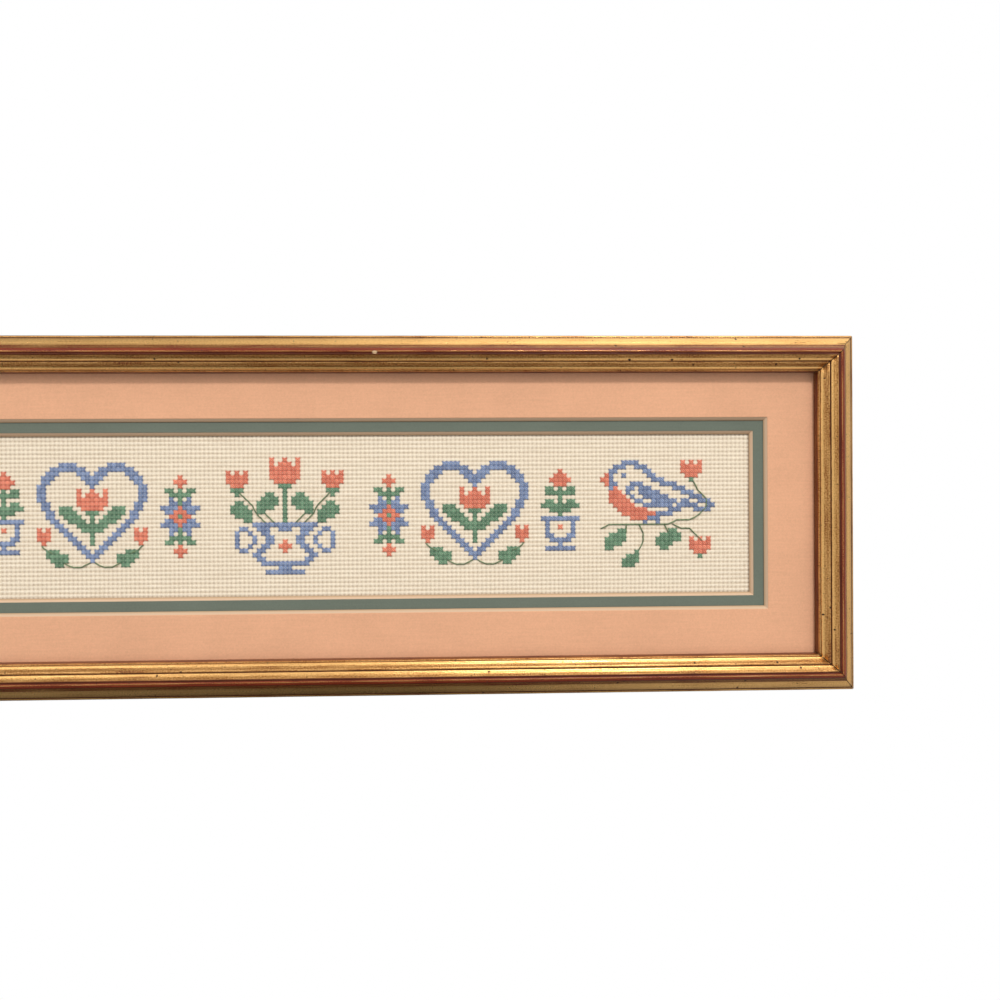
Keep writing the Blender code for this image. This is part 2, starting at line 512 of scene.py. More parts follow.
def board_group():
    """Mat board: coloured paper on a core that shows in the cut edge, paler near the face than deep in."""
    tree, given, out = new_group(
        "board",
        "ShaderNodeTree",
        {
            "Vector": (VECTOR, None),
            "Face": (COLOUR, None),
            "Core": (COLOUR, colour(*CORE)),
            "Deep Core": (COLOUR, colour(*DEEP_CORE)),
            "Face Forward": (FLOAT, None),
            "Thickness": (FLOAT, None),
        },
        {"Colour": COLOUR, "Height": FLOAT},
    )
    place = add(tree, "ShaderNodeSeparateXYZ", {0: given["Vector"]}).outputs
    depth = maths(tree, "ADD", place[1], given["Face Forward"])
    deep = maths(tree, "DIVIDE", depth, given["Thickness"])
    cloudy = noise_of(tree, given["Vector"], CLOUDS, 4.0, 0.6)
    pulp = noise_of(tree, given["Vector"], PULP, 4.0, 0.75)
    laid = noise_of(tree, scaled(tree, given["Vector"], *LAID), 1.0, 3.0)
    flecks = place_group(tree, GROUPS["flecks"], {
        "Vector": given["Vector"], "Size": 1.6 * MM, "Share": 0.14,
    })
    tone = blend(tree, (cloudy, 0.3), (pulp, 0.5), (laid, 0.2))
    tone = between(tree, tone, 0.3, 0.7, 0.85, 1.11)
    tone = maths(tree, "SUBTRACT", tone, maths(tree, "MULTIPLY", flecks["Mask"], 0.035))
    tone = add(tree, "ShaderNodeCombineColor", {0: tone, 1: tone, 2: tone}).outputs[0]
    face = mix_colours(tree, 1.0, given["Face"], tone, "MULTIPLY")
    cut = mix_colours(tree, between(tree, deep, 0.55, 0.98), given["Core"], given["Deep Core"])
    in_cut = between(tree, deep, 0.06, 0.14)
    tree.links.new(mix_colours(tree, in_cut, face, cut), out["Colour"])
    tree.links.new(pulp, out["Height"])
    return tree


def floss_group():
    """Twisted cotton with painted shade between its turns and towards its ends, where it dives into the
    holes; each stitch a little lighter or darker.
    """
    tree, given, out = new_group(
        "floss",
        "ShaderNodeTree",
        {"Dark": (COLOUR, None), "Light": (COLOUR, None)},
        {"Colour": COLOUR, "Height": FLOAT},
    )
    along = add(tree, "ShaderNodeAttribute", attribute_name="along").outputs["Fac"]
    around = add(tree, "ShaderNodeAttribute", attribute_name="around").outputs["Fac"]
    shade = add(tree, "ShaderNodeAttribute", attribute_name="shade").outputs["Fac"]
    turn = blend(tree, (along, 5.0), (around, 2.0))
    # twist: painted shade between the turns, and the bump's height
    twist = maths(tree, "SINE", maths(tree, "MULTIPLY", turn, 2 * math.pi))
    twist = maths(tree, "MULTIPLY_ADD", twist, 0.5, 0.5)
    # painted shade: the strand is darker towards its ends, where it dives into the holes
    raised = maths(tree, "SINE", maths(tree, "MULTIPLY", along, math.pi))
    tone_and_painted_shade = blend(tree, (twist, 0.30), (shade, 0.35), (raised, 0.75))
    tone_and_painted_shade = between(tree, tone_and_painted_shade, 0.20, 1.30)
    tree.links.new(mix_colours(tree, tone_and_painted_shade, given["Dark"], given["Light"]), out["Colour"])
    tree.links.new(twist, out["Height"])
    return tree


GROUPS = {}


def new_material(name, roughness, **constants):
    """A material, its tree and its surface shader, whose constants are set on the shader itself."""
    material = bpy.data.materials.new(name)
    material.use_nodes = True
    tree = material.node_tree
    shader = tree.nodes["Principled BSDF"]
    shader.inputs["Roughness"].default_value = roughness
    for label, value in constants.items():
        shader.inputs[label.replace("_", " ")].default_value = value
    return material, tree, shader


def object_place(tree):
    return add(tree, "ShaderNodeTexCoord").outputs["Object"]


def bump(tree, shader, height, distance, strength):
    inputs = {"Height": height, "Distance": distance, "Strength": strength}
    made = add(tree, "ShaderNodeBump", inputs)
    tree.links.new(made.outputs[0], shader.inputs["Normal"])


def board_material(name, node, paper):
    """Finish of one mat board. Its face lies at the front of its node."""
    material, tree, shader = new_material(name, 0.88, Specular_IOR_Level=0.25)
    low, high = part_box(node)
    made = place_group(tree, GROUPS["board"], {
        "Vector": object_place(tree),
        "Face": colour(*paper),
        "Face Forward": -low.y,
        "Thickness": high.y - low.y,
    })
    tree.links.new(made["Colour"], shader.inputs["Base Color"])
    bump(tree, shader, made["Height"], 0.06 * MM, 0.6)
    return material


def floss_material(name, shades):
    dark, light = shades
    material, tree, shader = new_material(name, 0.62, Sheen_Weight=0.25, Sheen_Roughness=0.4)
    made = place_group(tree, GROUPS["floss"], {"Dark": colour(*dark), "Light": colour(*light)})
    tree.links.new(made["Colour"], shader.inputs["Base Color"])
    bump(tree, shader, made["Height"], 0.05 * MM, 0.7)
    return material


def cloth_material():
    """Even block weave: threads over and under in fours. Painted shade darkens the hole at each corner of a
    square, the dips between threads and the rows between squares, so the mounds read lighter.
    """
    material, tree, shader = new_material("block_weave", 0.9, Sheen_Weight=0.2, Sheen_Roughness=0.5)
    place = vector_maths(tree, "SUBTRACT", object_place(tree), MIDDLE)
    parts = add(tree, "ShaderNodeSeparateXYZ", {0: times(tree, place, 1 / SQUARE)}).outputs
    square_of, threads, half_squares = [], [], []
    for i in (0, 2):
        to_hole = maths(tree, "SUBTRACT", maths(tree, "FRACT", parts[i]), 0.5)
        square_of.append(maths(tree, "MULTIPLY", to_hole, to_hole))
        turns = maths(tree, "MULTIPLY", parts[i], 2 * math.pi * THREADS_IN_A_SQUARE)
        threads.append(maths(tree, "COSINE", turns))
        half_squares.append(maths(tree, "FLOOR", maths(tree, "MULTIPLY", parts[i], 2.0)))
    far = maths(tree, "SQRT", maths(tree, "ADD", *square_of))
    # painted shade in the hole at each corner of a square, where the mesh has only a dip
    hole = between(tree, far, *HOLE_RIM)
    over = maths(tree, "PINGPONG", maths(tree, "ADD", *half_squares), 1.0)
    height = mix_values(tree, over, threads[1], threads[0])
    fuzz = noise_of(tree, place, FUZZ, 3.0, 0.6)
    slub = noise_of(tree, scaled(tree, place, *SLUBS), 1.0, 2.0)
    # painted shade: the weave is lighter on its mounds and threads and darker between them, more between rows
    # than between columns
    painted_mound_shade = [maths(tree, "COSINE", maths(tree, "MULTIPLY", parts[i], 2 * math.pi)) for i in (0, 2)]
    tone = blend(tree, (fuzz, 0.7), (slub, 0.3), (height, 0.06), (painted_mound_shade[0], 0.07), (painted_mound_shade[1], 0.15))
    tone = between(tree, tone, 0.29, 0.71)
    cotton = tinted(tree, tone, COTTON)
    final = mix_colours(tree, hole, cotton, colour(*PAINTED_HOLE_SHADE))
    tree.links.new(final, shader.inputs["Base Color"])
    bump(tree, shader, maths(tree, "ADD", height, fuzz), 0.04 * MM, 0.6)
    return material


def nick_masks(tree, place):
    """Masks of the nicks, with ragged rims: all of them, and those that show pale filler."""
    rim = maths(tree, "MULTIPLY", noise_of(tree, place, CHIPPED, 3.0, 0.7), 0.9)
    every, pale = 0.0, 0.0
    for nick in NICKS:
        middle = (MIDDLE.x + nick.x * MM, WALL - nick.forward * MM, MIDDLE.z + nick.z * MM)
        gone = vector_maths(tree, "SUBTRACT", place, middle)
        gone = scaled(tree, gone, *NICK_SQUEEZE)
        far = add(tree, "ShaderNodeVectorMath", {0: gone}, operation="LENGTH").outputs["Value"]
        far = maths(tree, "ADD", maths(tree, "DIVIDE", far, nick.radius * MM), rim)
        mask = between(tree, far, 1.30, 1.15)
        every = maths(tree, "MAXIMUM", every, mask)
        pale = maths(tree, "MAXIMUM", pale, maths(tree, "MULTIPLY", mask, nick.pale))
    return every, pale


def zone_masks(tree, across):
    """How much leaf, red ground and dark groove colour the moulding's section has at a place across it; on
    the wall and the sight bead that dark colour is painted shade.
    """
    start, end = ZONES[0].start * MM, ZONES_END * MM
    ramp_node = add(tree, "ShaderNodeValToRGB", {0: between(tree, across, start, end)})
    ramp = ramp_node.color_ramp
    ramp.interpolation = "CONSTANT"
    while len(ramp.elements) < len(ZONES):
        ramp.elements.new(1.0)
    for element, zone in zip(ramp.elements, ZONES):
        element.position = (zone.start * MM - start) / (end - start)
        element.color = colour(zone.leaf, zone.ground, zone.groove)
    return add(tree, "ShaderNodeSeparateColor", {0: ramp_node.outputs[0]}).outputs[:3]


def gilding_material():
    """Rubbed leaf over red ground, in bands across the moulding, sandy, streaked and specked with dark; the
    dark groove colour is antiquing in the grooves and painted shade on the wall inside the sight edge and on
    the sight bead.
    """
    material, tree, shader = new_material("gilding", 0.4, Specular_IOR_Level=0.25)
    uv = add(tree, "ShaderNodeUVMap", uv_map="moulding").outputs[0]
    ragged = noise_of(tree, scaled(tree, uv, 1.0, 2.0, 1.0), RAGGED, 3.0)
    across = add(tree, "ShaderNodeSeparateXYZ", {0: uv}).outputs[1]
    ragged = maths(tree, "MULTIPLY", maths(tree, "SUBTRACT", ragged, 0.5), 0.16 * MM)
    leaf, ground, groove = zone_masks(tree, maths(tree, "ADD", across, ragged))
    sand = noise_of(tree, uv, SAND, 2.0, 0.7)
    streaks = noise_of(tree, scaled(tree, uv, *STREAKS), 1.0, 4.0, 0.65)
    patches = noise_of(tree, scaled(tree, uv, 1.0, 5.0, 1.0), PATCHES, 3.0)
    tone = blend(tree, (sand, 0.42), (streaks, 0.40), (patches, 0.18))
    bright = between(tree, tone, 0.38, 0.62)
    rubbed = maths(tree, "MULTIPLY_ADD", maths(tree, "SUBTRACT", leaf, 0.72), 0.38, tone)
    burnished = between(tree, rubbed, 0.42, 0.59)
    gold = tinted(tree, burnished, LEAF)
    red = tinted(tree, bright, RED_GROUND)
    dark = tinted(tree, bright, DARK_GROOVE_AND_SHADE)
    worn = blend(tree, (leaf, 1.0), (tone, 2.2), (patches, 1.0))
    leafed = between(tree, worn, 1.95, 2.15)
    leafed = maths(tree, "MULTIPLY", leafed, maths(tree, "MULTIPLY_ADD", ground, -0.6, 1.0))
    fine = place_group(tree, GROUPS["flecks"], {"Vector": uv, "Size": 1.3 * MM, "Share": 0.13})
    holes = place_group(tree, GROUPS["flecks"], {"Vector": uv, "Size": 2.3 * MM, "Share": 0.05})
    specks = maths(tree, "MAXIMUM", maths(tree, "MULTIPLY", fine["Mask"], 0.8), holes["Mask"])
    nicks, pale = nick_masks(tree, object_place(tree))
    surface = mix_colours(tree, leafed, red, gold)
    # dark groove colour: antiquing in the grooves, and painted shade on the wall and the sight bead
    surface = mix_colours(tree, groove, surface, dark)
    surface = mix_colours(tree, specks, surface, colour(*SPECK))
    surface = mix_colours(tree, nicks, surface, colour(*DARK_NICK))
    surface = mix_colours(tree, pale, surface, colour(*PALE_FILLER))
    tree.links.new(surface, shader.inputs["Base Color"])
    hidden = maths(tree, "MAXIMUM", maths(tree, "MAXIMUM", groove, specks), nicks)
    metal = maths(tree, "MULTIPLY", leafed, maths(tree, "SUBTRACT", 1.0, hidden))
    tree.links.new(maths(tree, "MULTIPLY", metal, 0.9), shader.inputs["Metallic"])
    matt = mix_values(tree, leafed, 0.26, between(tree, tone, 0.3, 0.7, 0.36, 0.22))
    matt = maths(tree, "ADD", matt, maths(tree, "MULTIPLY", hidden, 0.25))
    tree.links.new(matt, shader.inputs["Roughness"])
    height = blend(tree, (sand, 1.0), (streaks, 0.6), (specks, -1.0), (nicks, -1.0))
    bump(tree, shader, height, 0.07 * MM, 0.8)
    return material


def wood_material(name, shades, grain_scale, uv_map=None):
    """Plain wood or board. Its grain follows the first axis of a UV map, or of the object without one."""
    material, tree, shader = new_material(name, 0.8, Specular_IOR_Level=0.3)
    place = add(tree, "ShaderNodeUVMap", uv_map=uv_map).outputs[0] if uv_map else object_place(tree)
    grain = noise_of(tree, scaled(tree, place, *grain_scale), 1.0, 5.0, 0.6)
    flecks = place_group(tree, GROUPS["flecks"], {"Vector": place, "Size": 2.0 * MM, "Share": 0.3})
    tone = blend(tree, (grain, 1.0), (flecks["Mask"], -0.12))
    surface = tinted(tree, between(tree, tone, 0.25, 0.7), shades)
    tree.links.new(surface, shader.inputs["Base Color"])
    bump(tree, shader, tone, 0.15 * MM, 0.5)
    return material


# Shapes

def new_piece(name, mesh):
    """A piece of the picture, which rides with the frame's one body."""
    piece = bpy.data.objects.new(name, mesh)
    bpy.context.scene.collection.objects.link(piece)
    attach(piece, "root")
    return piece


def grown(name, seed_mesh, tree, inputs):
    """The plain mesh that a Geometry Nodes tree makes from a seed mesh, with inputs given by their names."""
    seed = bpy.data.objects.new(name + "_seed", seed_mesh)
    bpy.context.scene.collection.objects.link(seed)
    modifier = seed.modifiers.new("grow", "NODES")
    modifier.node_group = tree
    for item in tree.interface.items_tree:
        if item.name in inputs:
            modifier[item.identifier] = inputs[item.name]
    graph = bpy.context.evaluated_depsgraph_get()
    made = seed.evaluated_get(graph)
    mesh = bpy.data.meshes.new_from_object(made, preserve_all_data_layers=True, depsgraph=graph)
    mesh.name = name
    bpy.data.objects.remove(seed)
    return mesh


def end_tree(tree, geometry, given, out):
    """Ends a Geometry Nodes tree with smooth, real geometry in the material that it is given."""
    smooth = add(tree, "GeometryNodeSetShadeSmooth", {"Geometry": geometry})
    real = add(tree, "GeometryNodeRealizeInstances", {"Geometry": smooth.outputs[0]})
    done = add(tree, "GeometryNodeSetMaterial", {"Geometry": real.outputs[0], "Material": given["Material"]})
    tree.links.new(done.outputs[0], out["Geometry"])


def weave_tree():
    """Front of the cloth: a fine grid raised in each square's middle, and a flat margin round it."""
    tree, given, out = new_group(
        "block_weave_front",
        "GeometryNodeTree",
        {
            "Geometry": ("NodeSocketGeometry", None),
            "Square": (FLOAT, SQUARE),
            "Columns": ("NodeSocketInt", None),
            "Rows": ("NodeSocketInt", None),
            "Steps": ("NodeSocketInt", RELIEF_STEPS_IN_A_SQUARE),
            "Rise": (FLOAT, WEAVE_RISE),
            "Width": (FLOAT, None),
            "Height": (FLOAT, None),
            "Material": ("NodeSocketMaterial", None),
        },
        {"Geometry": "NodeSocketGeometry"},
    )
    size = [maths(tree, "MULTIPLY", given[label], given["Square"]) for label in ("Columns", "Rows")]
    count = [maths(tree, "ADD", maths(tree, "MULTIPLY", given[label], given["Steps"]), 1.0)
             for label in ("Columns", "Rows")]
    grid = add(tree, "GeometryNodeMeshGrid", {
        "Size X": size[0], "Size Y": size[1], "Vertices X": count[0], "Vertices Y": count[1],
    })
    upright = add(tree, "GeometryNodeTransform", {
        "Geometry": grid.outputs["Mesh"], "Rotation": (math.pi / 2, 0.0, 0.0),
    })
    place = add(tree, "GeometryNodeInputPosition").outputs[0]
    parts = add(tree, "ShaderNodeSeparateXYZ", {0: place}).outputs
    raised = []
    for i in (0, 2):
        turns = maths(tree, "DIVIDE", maths(tree, "MULTIPLY", parts[i], 2 * math.pi), given["Square"])
        raised.append(maths(tree, "MULTIPLY", maths(tree, "ADD", maths(tree, "COSINE", turns), 1.0), 0.5))
    middle = maths(tree, "MULTIPLY", *raised)
    height = blend(tree, (raised[0], 0.20), (raised[1], 0.46), (middle, 0.35))
    loose = noise_of(tree, place, LOOSE_WEAVE, 2.0)
    height = maths(tree, "MULTIPLY", height, between(tree, loose, 0.2, 0.8, 0.65, 1.35))
    forward = maths(tree, "MULTIPLY", maths(tree, "MULTIPLY", height, given["Rise"]), -1.0)
    offset = add(tree, "ShaderNodeCombineXYZ", {1: forward}).outputs[0]
    relief = add(tree, "GeometryNodeSetPosition", {"Geometry": upright.outputs[0], "Offset": offset})
    edges = add(tree, "GeometryNodeInputMeshEdgeNeighbors").outputs[0]
    rim = add(tree, "FunctionNodeCompare", {2: edges, 3: 1}, data_type="INT", operation="EQUAL").outputs[0]
    margin = add(tree, "GeometryNodeExtrudeMesh", {
        "Mesh": relief.outputs[0], "Selection": rim, "Offset Scale": 0.0,
    }, mode="EDGES")
    out_x = maths(tree, "DIVIDE", maths(tree, "MULTIPLY", parts[0], given["Width"]), size[0])
    out_z = maths(tree, "DIVIDE", maths(tree, "MULTIPLY", parts[2], given["Height"]), size[1])
    out_place = add(tree, "ShaderNodeCombineXYZ", {0: out_x, 2: out_z}).outputs[0]
    wide = add(tree, "GeometryNodeSetPosition", {
        "Geometry": margin.outputs["Mesh"], "Selection": margin.outputs["Top"], "Position": out_place,
    })
    end_tree(tree, wide.outputs[0], given, out)
    return tree


def strand_tree():
    """Turns each loose edge into a strand of floss that rises out of one hole and dives into another."""
    tree, given, out = new_group(
        "floss_strands",
        "GeometryNodeTree",
        {
            "Geometry": ("NodeSocketGeometry", None),
            "Radius": (FLOAT, None),
            "Spread": (FLOAT, STRAND_SPREAD),
            "Unevenness": (FLOAT, STRAND_UNEVENNESS),
            "Sides": ("NodeSocketInt", STRAND_SIDES),
            "Points": ("NodeSocketInt", STRAND_POINTS),
            "Material": ("NodeSocketMaterial", None),
        },
        {"Geometry": "NodeSocketGeometry"},
    )
    line = add(tree, "GeometryNodeMeshToCurve", {"Mesh": given["Geometry"]})
    line = add(tree, "GeometryNodeResampleCurve", {"Curve": line.outputs[0], "Count": given["Points"]})
    part_way = add(tree, "GeometryNodeSplineParameter").outputs["Factor"]
    arch = maths(tree, "SINE", maths(tree, "MULTIPLY", part_way, math.pi))
    arch = maths(tree, "POWER", arch, 0.75)
    lift = add(tree, "GeometryNodeInputNamedAttribute", {"Name": "lift"}, data_type="FLOAT").outputs[0]
    side = add(tree, "GeometryNodeInputNamedAttribute", {"Name": "side"}, data_type="FLOAT").outputs[0]
    up = add(tree, "ShaderNodeCombineXYZ", {
        1: maths(tree, "MULTIPLY", maths(tree, "MULTIPLY", lift, arch), -1.0),
    }).outputs[0]
    tangent = add(tree, "GeometryNodeInputTangent").outputs[0]
    parting = maths(tree, "MULTIPLY", maths(tree, "MULTIPLY", side, given["Spread"]), arch)
    sideways = vector_maths(tree, "CROSS_PRODUCT", tangent, (0.0, 1.0, 0.0))
    sideways = times(tree, sideways, parting)
    place = add(tree, "GeometryNodeInputPosition").outputs[0]
    wander = add(tree, "ShaderNodeTexNoise", {"Vector": place, "Scale": STRAND_WANDER, "Detail": 1.0})
    wander = vector_maths(tree, "SUBTRACT", wander.outputs["Color"], (0.5, 0.5, 0.5))
    wander = times(tree, wander, given["Unevenness"])
    offset = vector_maths(tree, "ADD", vector_maths(tree, "ADD", up, sideways), wander)
    moved = add(tree, "GeometryNodeSetPosition", {"Geometry": line.outputs[0], "Offset": offset})
    named = add(tree, "GeometryNodeStoreNamedAttribute", {
        "Geometry": moved.outputs[0], "Name": "along", "Value": part_way,
    }, data_type="FLOAT", domain="POINT")
    ring = add(tree, "GeometryNodeCurvePrimitiveCircle", {
        "Resolution": given["Sides"], "Radius": given["Radius"],
    })
    ring = add(tree, "GeometryNodeStoreNamedAttribute", {
        "Geometry": ring.outputs[0], "Name": "around", "Value": part_way,
    }, data_type="FLOAT", domain="POINT")
    tube = add(tree, "GeometryNodeCurveToMesh", {
        "Curve": named.outputs[0], "Profile Curve": ring.outputs[0], "Fill Caps": True,
    })
    end_tree(tree, tube.outputs[0], given, out)
    return tree


def window_half_size(node):
    """Half the width and height of a mat's window at its narrow edge, read from the mat."""
    low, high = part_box(node)
    inner = [v.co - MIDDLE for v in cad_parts[node].data.vertices if low.x + MM < v.co.x < high.x - MM]
    return min(abs(co.x) for co in inner), min(abs(co.z) for co in inner)


def make_cloth():
    """The cloth, raised block by block where it shows, flat under the mats, with a plain back."""
    half_width, half_height = window_half_size("inner_mat")
    columns = 2 * math.ceil(half_width / SQUARE) + 1
    rows = 2 * math.ceil(half_height / SQUARE) + 1
    size = CLOTH_HIGH - CLOTH_LOW
    mesh = grown("woven_cloth", bpy.data.meshes.new("woven_cloth_seed"), weave_tree(), {
        "Columns": columns, "Rows": rows, "Width": size.x, "Height": size.z,
        "Material": MATERIALS["cloth"],
    })
    bm = bmesh.new()
    bm.from_mesh(mesh)
    bmesh.ops.remove_doubles(bm, verts=bm.verts, dist=TOUCH)
    bmesh.ops.translate(bm, verts=bm.verts, vec=(MIDDLE.x, CLOTH_FRONT, MIDDLE.z))
    rim = [edge for edge in bm.edges if edge.is_boundary]
    walls = bmesh.ops.extrude_edge_only(bm, edges=rim)["geom"]
    for vert in (part for part in walls if isinstance(part, bmesh.types.BMVert)):
        vert.co.y = CLOTH_HIGH.y
    bmesh.ops.holes_fill(bm, edges=[edge for edge in bm.edges if edge.is_boundary], sides=0)
    bmesh.ops.recalc_face_normals(bm, faces=bm.faces)
    bm.to_mesh(mesh)
    bm.free()
    mesh.set_sharp_from_angle(angle=CRISP_ON_CLOTH)
    cloth = new_piece("woven_cloth", mesh)
    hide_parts("stitched_cloth")
    return cloth, (size.x, size.z)


# A strand of floss: the holes that it comes out of and dives into, how high it rises, on which side of the
# stitch it lies, and how light it is
Strand = namedtuple("Strand", "start end lift side shade")


def strands_of_cross(column, row, luck):
    """Two legs of two strands each, from corner to corner of a square. The second leg lies on the first."""
    shade = luck.random()
    corners = ((-0.5, -0.5, 0.5, 0.5, LOWER_LEG_RISE), (-0.5, 0.5, 0.5, -0.5, UPPER_LEG_RISE))
    strands = []
    for x0, z0, x1, z1, lift in corners:
        for side in (-1.0, 1.0):
            start, end = (column + x0, row + z0), (column + x1, row + z1)
            strands.append(Strand(start, end, lift, side, shade))
    return strands


def strands_of_stem(points, luck):
    """Back stitch along a line of holes, one stitch for each square that it crosses."""
    strands = []
    for (x0, z0), (x1, z1) in zip(points, points[1:]):
        count = math.gcd(round(abs(x1 - x0)), round(abs(z1 - z0)))
        step = Vector((x1 - x0, z1 - z0)) / count
        for i in range(count):
            start = Vector((x0, z0)) + step * i
            strands.append(Strand(start, start + step, BACK_STITCH_RISE, 0.0, luck.random()))
    return strands


def chart_strands():
    """Every strand of the sampler, by floss. The left half of the window mirrors the right one."""
    luck = random.Random(LUCK_SEED)
    strands = {floss: [] for floss in FLOSS_COLOURS}
    for motif in MOTIFS:
        on_axis = motif.column == 0
        places = []
        for i, row in enumerate(motif.rows):
            for j, letter in enumerate(row):
                if letter == ".":
                    continue
                for at in sorted({j, -j} if motif.mirrored else {j}):
                    places.append((motif.column + at, motif.top - i, FLOSS_OF_LETTER[letter]))
        for column, row, floss in places:
            strands[floss] += strands_of_cross(column, row, luck)
            if not on_axis:
                strands[floss] += strands_of_cross(-column, row, luck)
        for points in motif.stems:
            lines = [[(motif.column + x, z) for x, z in points]]
            if motif.mirrored and not on_axis:
                lines.append([(motif.column - x, z) for x, z in points])
            for line in lines:
                strands[STEM_FLOSS] += strands_of_stem(line, luck)
                strands[STEM_FLOSS] += strands_of_stem([(-x, z) for x, z in line], luck)
    return strands


def make_stitches():
    """One piece for each colour of floss."""
    tree = strand_tree()
    pieces = []
    for floss, strands in chart_strands().items():
        seed = bpy.data.meshes.new(floss + "_seed")
        ends = [end for strand in strands for end in (strand.start, strand.end)]
        foot = CLOTH_FRONT - STRAND_FOOT
        verts = [(MIDDLE.x + x * SQUARE, foot, MIDDLE.z + z * SQUARE) for x, z in ends]
        seed.from_pydata(verts, [(2 * i, 2 * i + 1) for i in range(len(strands))], [])
        for label in ("lift", "side", "shade"):
            values = [getattr(strand, label) for strand in strands for _ in range(2)]
            seed.attributes.new(label, "FLOAT", "POINT").data.foreach_set("value", values)
        mesh = grown(floss + "_stitches", seed, tree, {
            "Radius": BACK_STITCH_RADIUS if floss == STEM_FLOSS else STRAND_RADIUS,
            "Material": MATERIALS[floss],
        })
        piece = new_piece(floss + "_stitches", mesh)
        pieces.append(piece)
    return pieces


def cut_across(bm, along, half_length):
    """Cuts a rail across at even steps, so that its surface can stray."""
    cuts = round(2 * half_length / RAIL_CUT_EVERY)
    for i in range(1, cuts):
        place = MIDDLE + along * half_length * (2 * i / cuts - 1)
        parts = bm.verts[:] + bm.edges[:] + bm.faces[:]
        bmesh.ops.bisect_plane(bm, geom=parts, dist=0.1 * TOUCH, plane_co=place, plane_no=along)


def mark_faces(bm, outward, along, reach, width):
    """Gives each face its finish, and its place along and across the moulding. Returns the gilt points."""
    near_sight = [v for v in bm.verts if (v.co - MIDDLE).dot(outward) < reach + TOUCH]
    near_edge = [v for v in bm.verts if (v.co - MIDDLE).dot(outward) > reach + width - TOUCH]
    sight_depth = max(WALL - vert.co.y for vert in near_sight)
    edge_depth = max(WALL - vert.co.y for vert in near_edge)
    layer = bm.loops.layers.uv.new("moulding")
    gilt = set()
    for face in bm.faces:
        centre = face.calc_center_median() - MIDDLE
        forward = WALL - face.calc_center_median().y
        in_rabbet = forward < LIP_BACK + TOUCH and centre.dot(outward) - reach < width - TOUCH
        bare = in_rabbet or abs(face.normal.dot(along)) > AT_MITRE
        if not bare:
            gilt.update(face.verts)
        face.material_index = int(bare)
        face.smooth = True
        on_wall = face.normal.dot(outward) < -SQUARE_TO
        on_side = face.normal.dot(outward) > SQUARE_TO
        for loop in face.loops:
            across = (loop.vert.co - MIDDLE).dot(outward) - reach
            depth = WALL - loop.vert.co.y
            if on_wall:
                across = depth - sight_depth
            if on_side:
                across = width + edge_depth - depth
            loop[layer].uv = ((loop.vert.co - MIDDLE).dot(along), across)
    return gilt


def make_rail(node, outward):
    """A finer copy of a rail: cut across at even steps, slightly uneven, gilt in front and bare behind."""
    outward = Vector(outward)
    along = Vector((abs(outward.z), 0, abs(outward.x)))
    bm = bmesh.new()
    bm.from_mesh(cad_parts[node].data)
    bmesh.ops.remove_doubles(bm, verts=bm.verts, dist=TOUCH)
    bmesh.ops.dissolve_limit(bm, angle_limit=LEVEL, verts=bm.verts, edges=bm.edges)
    reach = min((vert.co - MIDDLE).dot(outward) for vert in bm.verts)
    width = max((vert.co - MIDDLE).dot(outward) for vert in bm.verts) - reach
    half_length = max((vert.co - MIDDLE).dot(along) for vert in bm.verts)
    cut_across(bm, along, half_length)
    for vert in mark_faces(bm, outward, along, reach, width):
        reach_along = abs((vert.co - MIDDLE).dot(along))
        if reach_along < half_length - width and vert.co.y < WALL - LIP_BACK - MM:
            sway = noise.noise(vert.co * BROAD_WAVES) + 0.5 * noise.noise(vert.co * FINE_WAVES)
            vert.co += vert.normal * sway * RAIL_UNEVENNESS
    mesh = bpy.data.meshes.new("gilt_" + node)
    bm.to_mesh(mesh)
    bm.free()
    mesh.set_sharp_from_angle(angle=CRISP_ON_RAIL)
    mesh.materials.append(MATERIALS["gilding"])
    mesh.materials.append(MATERIALS["bare_wood"])
    rail = new_piece("gilt_" + node, mesh)
    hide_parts(node)


# Light, floor and camera

def make_floor():
    """A plain pale floor well below the picture. The room's light passes it, so it is even everywhere."""
    bm = bmesh.new()
    bmesh.ops.create_grid(bm, x_segments=1, y_segments=1, size=FLOOR_REACH)
    bmesh.ops.translate(bm, verts=bm.verts, vec=(0.0, 0.0, FLOOR_HEIGHT))
    mesh = bpy.data.meshes.new("floor")
    bm.to_mesh(mesh)
    bm.free()
    floor = bpy.data.objects.new("floor", mesh)
    bpy.context.scene.collection.objects.link(floor)
    material = bpy.data.materials.new("pale_floor")
    material.use_nodes = True
    tree = material.node_tree
    tree.nodes.remove(tree.nodes["Principled BSDF"])
    seen = add(tree, "ShaderNodeLightPath").outputs["Is Camera Ray"]
    clear = add(tree, "ShaderNodeBsdfTransparent")
    pale = add(tree, "ShaderNodeEmission", {"Color": colour(1, 1, 1), "Strength": 1.0})
    both = add(tree, "ShaderNodeMixShader", {0: seen, 1: clear.outputs[0], 2: pale.outputs[0]})
    tree.links.new(both.outputs[0], tree.nodes["Material Output"].inputs["Surface"])
    mesh.materials.append(material)


